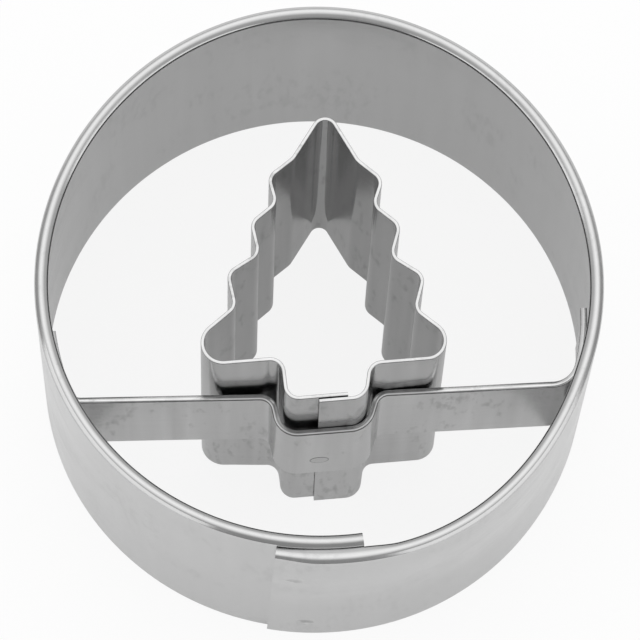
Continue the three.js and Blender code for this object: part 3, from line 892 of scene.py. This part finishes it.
def rolled_strip(name, base, looks, film, wear, seed):
    """Bright cold-rolled steel strip, bent by hand. The rolls leave fine lines along the strip, the bending
    leaves faint upright streaks, and handling leaves dull patches, so its reflections are clear but not
    clean."""
    material, tree, shader = new_material(name)
    node = partial(add, tree)
    place = node("ShaderNodeTexCoord")["Object"]
    apart = (seed * 0.1, 0, 0)
    patterns = []
    for stretch, width, detail in (
        # Rolling lines are some 0.05 mm apart. They are drawn 0.2 mm apart so that they show.
        ((1, 1, 60), 12, 3),
        # Bending streaks, 1 to 2 mm wide and as long as the strip is high.
        ((1, 1, 0.05), 1.5, 2),
        # Dull patches, about 7 mm across.
        ((1, 1, 1), 7, 4),
        # Specks of grime, about 0.3 mm across and 1 mm high.
        ((1, 1, 0.3), 0.6, 3),
    ):
        drawn = node("ShaderNodeMapping", {"Vector": place, "Location": apart, "Scale": stretch})[0]
        patterns.append(node(NOISE, {"Vector": drawn, "Scale": 1 / (width * MM), "Detail": detail})["Fac"])
    lines, streaks, patches, specks = patterns

    shade = node(MATH, (lines, 0.5, streaks), operation="MULTIPLY_ADD")[0]
    tint = node(RAMP, (shade, 0.4, 1.1, 1 - looks.streak_dark * wear, 1 + looks.streak_light * wear))[0]
    dirt = node(MATH, (specks, patches), **TIMES)[0]
    grime = node(RAMP, (dirt, 0.3, 0.42, 1, 1 - looks.grime * wear))[0]
    # The piece's own attribute tells where shade is painted: on the tree's inner side and on the hem's crest.
    dulled = node("ShaderNodeAttribute", attribute_name="dulled")["Fac"]
    # Painted shade: where that attribute is set, the film share darkens the colour.
    painted_shade = node(RAMP, (dulled, 0, 1, 1, 1 - film))[0]
    tint_and_painted_shade = node(MATH, (tint, painted_shade), **TIMES)[0]
    # Random lines, streaks and grime, times the painted shade.
    worn = node(MATH, (tint_and_painted_shade, grime), **TIMES)[0]
    matt = node(MATH, (patches, lines), **TIMES)[0]
    rough = looks.roughness
    grooves = node("ShaderNodeBump", {"Height": lines, "Strength": 0.6, "Distance": 0.0006 * MM})[0]
    streaked = {"Height": streaks, "Strength": 0.6, "Distance": 0.008 * MM, "Normal": grooves}
    feed(tree, shader, {
        "Metallic": 1,
        "Specular Tint": looks.edge_tint,
        "Base Color": node(VECTOR, {0: base[:3], "Scale": worn}, **SCALED)[0],
        "Roughness": node(RAMP, (matt, 0.1, 0.4, 0.75 * rough, 1.35 * rough))[0],
        "Normal": node("ShaderNodeBump", streaked)[0],
    })
    return material


def spot_weld(name, base, rough):
    """Steel that a welding tip has pressed and heated: a little duller than the strip, with grey stains, fine
    pits and a dark scorched rim."""
    material, tree, shader = new_material(name)
    node = partial(add, tree)
    place = node("ShaderNodeTexCoord")["Object"]
    # Pits, about 0.15 mm apart, and stains, about 1 mm across.
    pits = node(NOISE, {"Vector": place, "Scale": 1 / (0.3 * MM), "Detail": 4})["Fac"]
    stains = node(NOISE, {"Vector": place, "Scale": 1 / (1 * MM), "Detail": 2})["Fac"]
    # The piece's own attributes tell a mark's edge from its heart, and a burnt mark from one with a scorched
    # edge.
    own = ("edge", "heart", "burnt")
    edge, heart, burnt = [node("ShaderNodeAttribute", attribute_name=key)["Fac"] for key in own]
    clean = node(MATH, (1, burnt), **LESS)[0]
    scorch = node(MATH, (edge, clean), **TIMES)[0]
    stain = node(RAMP, (stains, 0.35, 0.5))[0]
    burn = node(MATH, (stain, heart), **TIMES)[0]
    char = node(MATH, (burn, burnt), **TIMES)[0]
    dark = node(MATH, (char, 0.9, scorch), operation="MULTIPLY_ADD")[0]
    shade = node(RAMP, (dark, 0, 1, 1, 0.45))[0]
    feed(tree, shader, {
        "Metallic": 1,
        "Base Color": node(VECTOR, {0: base[:3], "Scale": shade}, **SCALED)[0],
        "Roughness": node(RAMP, (pits, 0.3, 0.7, 0.8 * rough, 1.25 * rough))[0],
        "Normal": node("ShaderNodeBump", {"Height": pits, "Strength": 0.5, "Distance": 0.008 * MM})[0],
    })
    return material


def white_floor(name, base, glow, white):
    """Matte white board. Where it shows in the metal a little glow lifts it towards white, and where the
    camera looks at it most of it is plain white, so that only a light shadow is left."""
    material, tree, board = new_material(name)
    node = partial(add, tree)
    ray = node("ShaderNodeLightPath")
    mirrored = node(MATH, (ray["Is Glossy Ray"], ray["Is Transmission Ray"]))[0]
    seen = node(MATH, (ray["Is Camera Ray"], mirrored), use_clamp=True)[0]
    feed(tree, board, {
        "Base Color": base,
        "Roughness": 0.9,
        "Specular IOR Level": 0,
        "Emission Color": WHITE,
        "Emission Strength": node(MATH, (seen, glow), **TIMES)[0],
    })
    plain = node("ShaderNodeEmission", {"Color": WHITE, "Strength": 1})[0]
    whiter = node(MATH, (ray["Is Camera Ray"], white), **TIMES)[0]
    mixed = node("ShaderNodeMixShader", (whiter, board.outputs[0], plain))[0]
    feed(tree, tree.nodes["Material Output"], {"Surface": mixed})
    return material


# Operators

def new_strip(piece, node):
    """Lets a finished strip stand for its CAD node."""
    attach(piece, "root")
    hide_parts(node)


def bent_strip(settings, name, line, section, values):
    """A strip bent along a line from the ring's centre."""
    placed = [(x, y + settings.ring.centre_y) for x, y in line]
    outline = bpy.data.objects.new(name + "_section", section_wire(name + "_section", section))
    bpy.context.scene.collection.objects.link(outline)
    piece = grown(name, wire(name + "_line", placed), bent_strip_tree(), {
        **values,
        **named(settings.sheet),
        "Section": outline,
        "Step": STRIP_STEP,
    })
    bpy.data.meshes.remove(outline.data)
    return piece


class CUTTER_OT_ring(bpy.types.Operator):
    """Builds the ring with its rolled bead and its lapped seam"""

    bl_idname = "cutter.ring"
    bl_label = "Ring"

    def execute(self, context):
        settings = context.scene.cutter
        sheet = settings.sheet
        ring = settings.ring
        looks = settings.steel
        radius = ring.diameter / 2
        bead = bead_width(sheet, ring)
        outer_start = ring.lap + ring.outer_flat
        section = section_wire("ring_section", ring_section(sheet, ring))
        wear = looks.ring_wear
        steel = rolled_strip("Ring Rolled Steel", looks.ring_steel, looks, film=0, wear=wear, seed=1)
        piece = grown("ring_strip", section, rolled_ring_tree(), {
            **named(sheet, ring),
            "Rotations": 1 + ring.lap / (2 * math.pi * radius),
            "Steps": RING_STEPS,
            "Start": (0, 0, FRONT + ring.lap / 2 / radius),
            "Centre": (0, ring.centre_y, 0),
            "Lap Step": lap_step(settings),
            "Bead Step": bead_step(sheet, ring),
            "Bead Width": bead,
            "Outer Start": outer_start,
            "Outer End": outer_start + ring.outer_ease,
            "Inner End": ring.lap + ring.inner_ease,
            "Rise End": sheet.height - bead,
            "Material": steel,
        })
        new_strip(piece, "ring_band")
        return {"FINISHED"}


class CUTTER_OT_tree(bpy.types.Operator):
    """Builds the tree from its bent strip"""

    bl_idname = "cutter.tree"
    bl_label = "Tree"

    def execute(self, context):
        settings = context.scene.cutter
        tree = settings.tree
        looks = settings.steel
        wear = looks.strip_wear
        # The film here is painted shade on the tree's inner side.
        film = looks.inner_painted_shade
        steel = rolled_strip("Tree Rolled Steel", looks.tree_steel, looks, film=film, wear=wear, seed=2)
        piece = bent_strip(settings, "tree_strip", tree_line(settings), tree_section(settings.sheet), {
            **named(tree),
            "Lean Middle": tree.shift - tree.trunk_top,
            # Faces still point inwards when the tree of nodes marks the inner side for its painted shade.
            "Inner Side": -1,
            "Material": steel,
        })
        new_strip(piece, "tree_band")
        return {"FINISHED"}


class CUTTER_OT_strap(bpy.types.Operator):
    """Builds the bridge strap with its hemmed edge and its two tabs"""

    bl_idname = "cutter.strap"
    bl_label = "Strap"

    def execute(self, context):
        settings = context.scene.cutter
        looks = settings.steel
        wear = looks.strip_wear
        # The film here is painted shade on the hem's crest.
        film = looks.crest_painted_shade
        steel = rolled_strip("Strap Rolled Steel", looks.strap_steel, looks, film=film, wear=wear, seed=3)
        section = strap_section(settings.sheet, settings.strap)
        piece = bent_strip(settings, "strap_strip", strap_line(settings), section, {
            **named(settings.strap),
            "Material": steel,
        })
        new_strip(piece, "bridge_strap")
        return {"FINISHED"}


class CUTTER_OT_welds(bpy.types.Operator):
    """Sets the marks of the welding tips on each weld, and finishes the nuggets between the sheets"""

    bl_idname = "cutter.welds"
    bl_label = "Welds"

    def round_marks(self, settings):
        """The marks on the ring and on the strap's tabs, which face along the ring's radius."""
        sheet = settings.sheet
        ring = settings.ring
        weld = settings.weld
        radius = ring.diameter / 2
        half_step = lap_step(settings) / 2
        outer = bead_step(sheet, ring) - half_step
        inner = half_step - ring.inner_lean
        inside = radius - half_step - sheet.thickness
        rows = []
        for aside, height in zip(weld.ring_turns, weld.ring_heights):
            rise, slope = lap_rise(sheet, ring, height)
            turn = FRONT + aside
            rows.append((turn, radius + half_step + outer * rise, height, 1, outer * slope))
            rows.append((turn, inside + inner * rise, height, -1, inner * slope))
        for side in (-1, 1):
            tab = TabBend(settings, side)
            rows.append((tab.middle, radius, weld.strap_height, 1, 0))
            rows.append((tab.middle, tab.radius - settings.strap.thickness, weld.strap_height, -1, 0))
        marks = []
        for turn, reach, height, way, slope in rows:
            away = Vector((math.cos(turn), math.sin(turn), 0))
            facing = (away - Vector((0, 0, slope))).normalized() * way
            marks.append((away * reach + Vector((0, 0, height)), facing, 1))
        return marks

    def flat_marks(self, settings):
        """The marks on the trunk's front, of which only the strap's is clean."""
        tree = settings.tree
        weld = settings.weld
        half = settings.sheet.thickness / 2
        front = Vector((math.sin(tree.front_turn), -math.cos(tree.front_turn), 0))
        outside = trunk_front(settings, tree.lap_shift, lap_step(settings) + half)
        inside = trunk_front(settings, tree.lap_shift, -half)
        x = tree.shift + tree.lap_shift
        marks = []
        for height in weld.tree_heights:
            marks.append((Vector((x, outside, height)), front, 1))
            marks.append((Vector((x, inside, height)), -front, 1))
        across = strap_front(settings, -weld.trunk_shift)
        marks.append((Vector((tree.shift - weld.trunk_shift, across, weld.strap_height)), front, 0))
        return marks

    def execute(self, context):
        settings = context.scene.cutter
        steel = spot_weld("Spot Weld Steel", settings.steel.weld_steel, settings.steel.weld_roughness)
        places, facings, burns = zip(*self.round_marks(settings), *self.flat_marks(settings))
        centre = Vector((0, settings.ring.centre_y, 0))
        points = bpy.data.meshes.new("weld_points")
        points.from_pydata([centre + place for place in places], [], [])
        turned = points.attributes.new("facing", "FLOAT_VECTOR", "POINT")
        turned.data.foreach_set("vector", [value for facing in facings for value in facing])
        points.attributes.new("burnt", "FLOAT", "POINT").data.foreach_set("value", burns)
        mark = bpy.data.objects.new("weld_mark", mark_mesh(settings.weld.diameter, settings.weld.rim))
        context.scene.collection.objects.link(mark)
        piece = grown("weld_marks", points, weld_marks_tree(), {"Mark": mark, "Material": steel})
        bpy.data.meshes.remove(mark.data)
        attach(piece, "root")
        for name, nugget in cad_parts.items():
            if name.endswith(("_weld", "_lower", "_upper")):
                for place in nugget.material_slots:
                    place.material = steel
        return {"FINISHED"}


class CUTTER_OT_stage(bpy.types.Operator):
    """Sets the floor, the soft light and the camera"""

    bl_idname = "cutter.stage"
    bl_label = "Stage"

    def execute(self, context):
        scene = context.scene
        stage = scene.cutter.stage
        half = stage.floor_size / 2
        corners = ((-half, -half), (half, -half), (half, half), (-half, half))
        board = bpy.data.meshes.new("floor")
        board.from_pydata([(x, y, -stage.floor_drop) for x, y in corners], [], [(0, 1, 2, 3)])
        board.materials.append(white_floor("White Board", stage.floor, stage.floor_glow, stage.floor_white))
        floor = bpy.data.objects.new("floor", board)
        scene.collection.objects.link(floor)

        for name, aside in (("left_box", -stage.box_turns[0]), ("right_box", stage.box_turns[1])):
            lamp = bpy.data.lights.new(name, "AREA")
            lamp.shape = "RECTANGLE"
            lamp.size = stage.box_width
            lamp.size_y = stage.box_height
            lamp.energy = stage.box_power
            box = bpy.data.objects.new(name, lamp)
            turn = Matrix.Rotation(aside, 4, "Z") @ Matrix.Rotation(math.pi / 2 - stage.box_rise, 4, "X")
            box.matrix_world = turn @ Matrix.Translation((0, 0, stage.box_distance))
            scene.collection.objects.link(box)

        world = bpy.data.worlds.new("Light Tent")
        world.use_nodes = True
        tent = world.node_tree
        node = partial(add, tent)
        brightest = (0, math.sin(stage.sky_tilt), math.cos(stage.sky_tilt))
        way = node("ShaderNodeTexCoord")["Generated"]
        towards = node(VECTOR, (way, brightest), operation="DOT_PRODUCT")["Value"]
        above = node(MATH, (towards, 0), operation="MAXIMUM")[0]
        soft = node(MATH, (above, stage.sky_fall), operation="POWER")[0]
        light = node(MATH, (soft, stage.sky, stage.room), operation="MULTIPLY_ADD")[0]
        feed(tent, tent.nodes["Background"], {"Color": WHITE, "Strength": light})
        scene.world = world

        film = bpy.data.cameras.new("camera")
        film.sensor_fit = "HORIZONTAL"
        film.sensor_width = stage.camera_film
        film.lens = stage.camera_lens
        film.clip_start = stage.camera_near
        camera = bpy.data.objects.new("camera", film)
        turn = Matrix.Rotation(stage.camera_heading, 4, "Z")
        turn @= Matrix.Rotation(stage.camera_tilt, 4, "X")
        turn @= Matrix.Rotation(stage.camera_roll, 4, "Z")
        camera.matrix_world = Matrix.Translation(stage.camera_place) @ turn
        scene.collection.objects.link(camera)
        scene.camera = camera
        scene.view_settings.view_transform = "Standard"
        return {"FINISHED"}


class CUTTER_PT_sidebar(bpy.types.Panel):
    """Lists the steps that build the cutter"""

    bl_idname = "CUTTER_PT_sidebar"
    bl_label = "Tree Cookie Cutter"
    bl_space_type = "VIEW_3D"
    bl_region_type = "UI"
    bl_category = "Cutter"

    def draw(self, context):
        for step in STEPS:
            self.layout.operator(step.bl_idname)


GROUPS = (SheetSizes, RingSizes, TreeSizes, StrapSizes, WeldSizes, SteelLooks, StageLooks, CutterSettings)
STEPS = (CUTTER_OT_ring, CUTTER_OT_tree, CUTTER_OT_strap, CUTTER_OT_welds, CUTTER_OT_stage)
CLASSES = (*GROUPS, *STEPS, CUTTER_PT_sidebar)


def register():
    for entry in CLASSES:
        bpy.utils.register_class(entry)
    about = "All sizes and finishes of the cutter"
    bpy.types.Scene.cutter = PointerProperty(type=CutterSettings, name="Cutter", description=about)


def unregister():
    del bpy.types.Scene.cutter
    for entry in reversed(CLASSES):
        bpy.utils.unregister_class(entry)


def main():
    """Builds everything."""
    register()
    bpy.ops.cutter.stage()
    bpy.ops.cutter.ring()
    bpy.ops.cutter.tree()
    bpy.ops.cutter.strap()
    bpy.ops.cutter.welds()


if __name__ == "__main__":
    main()
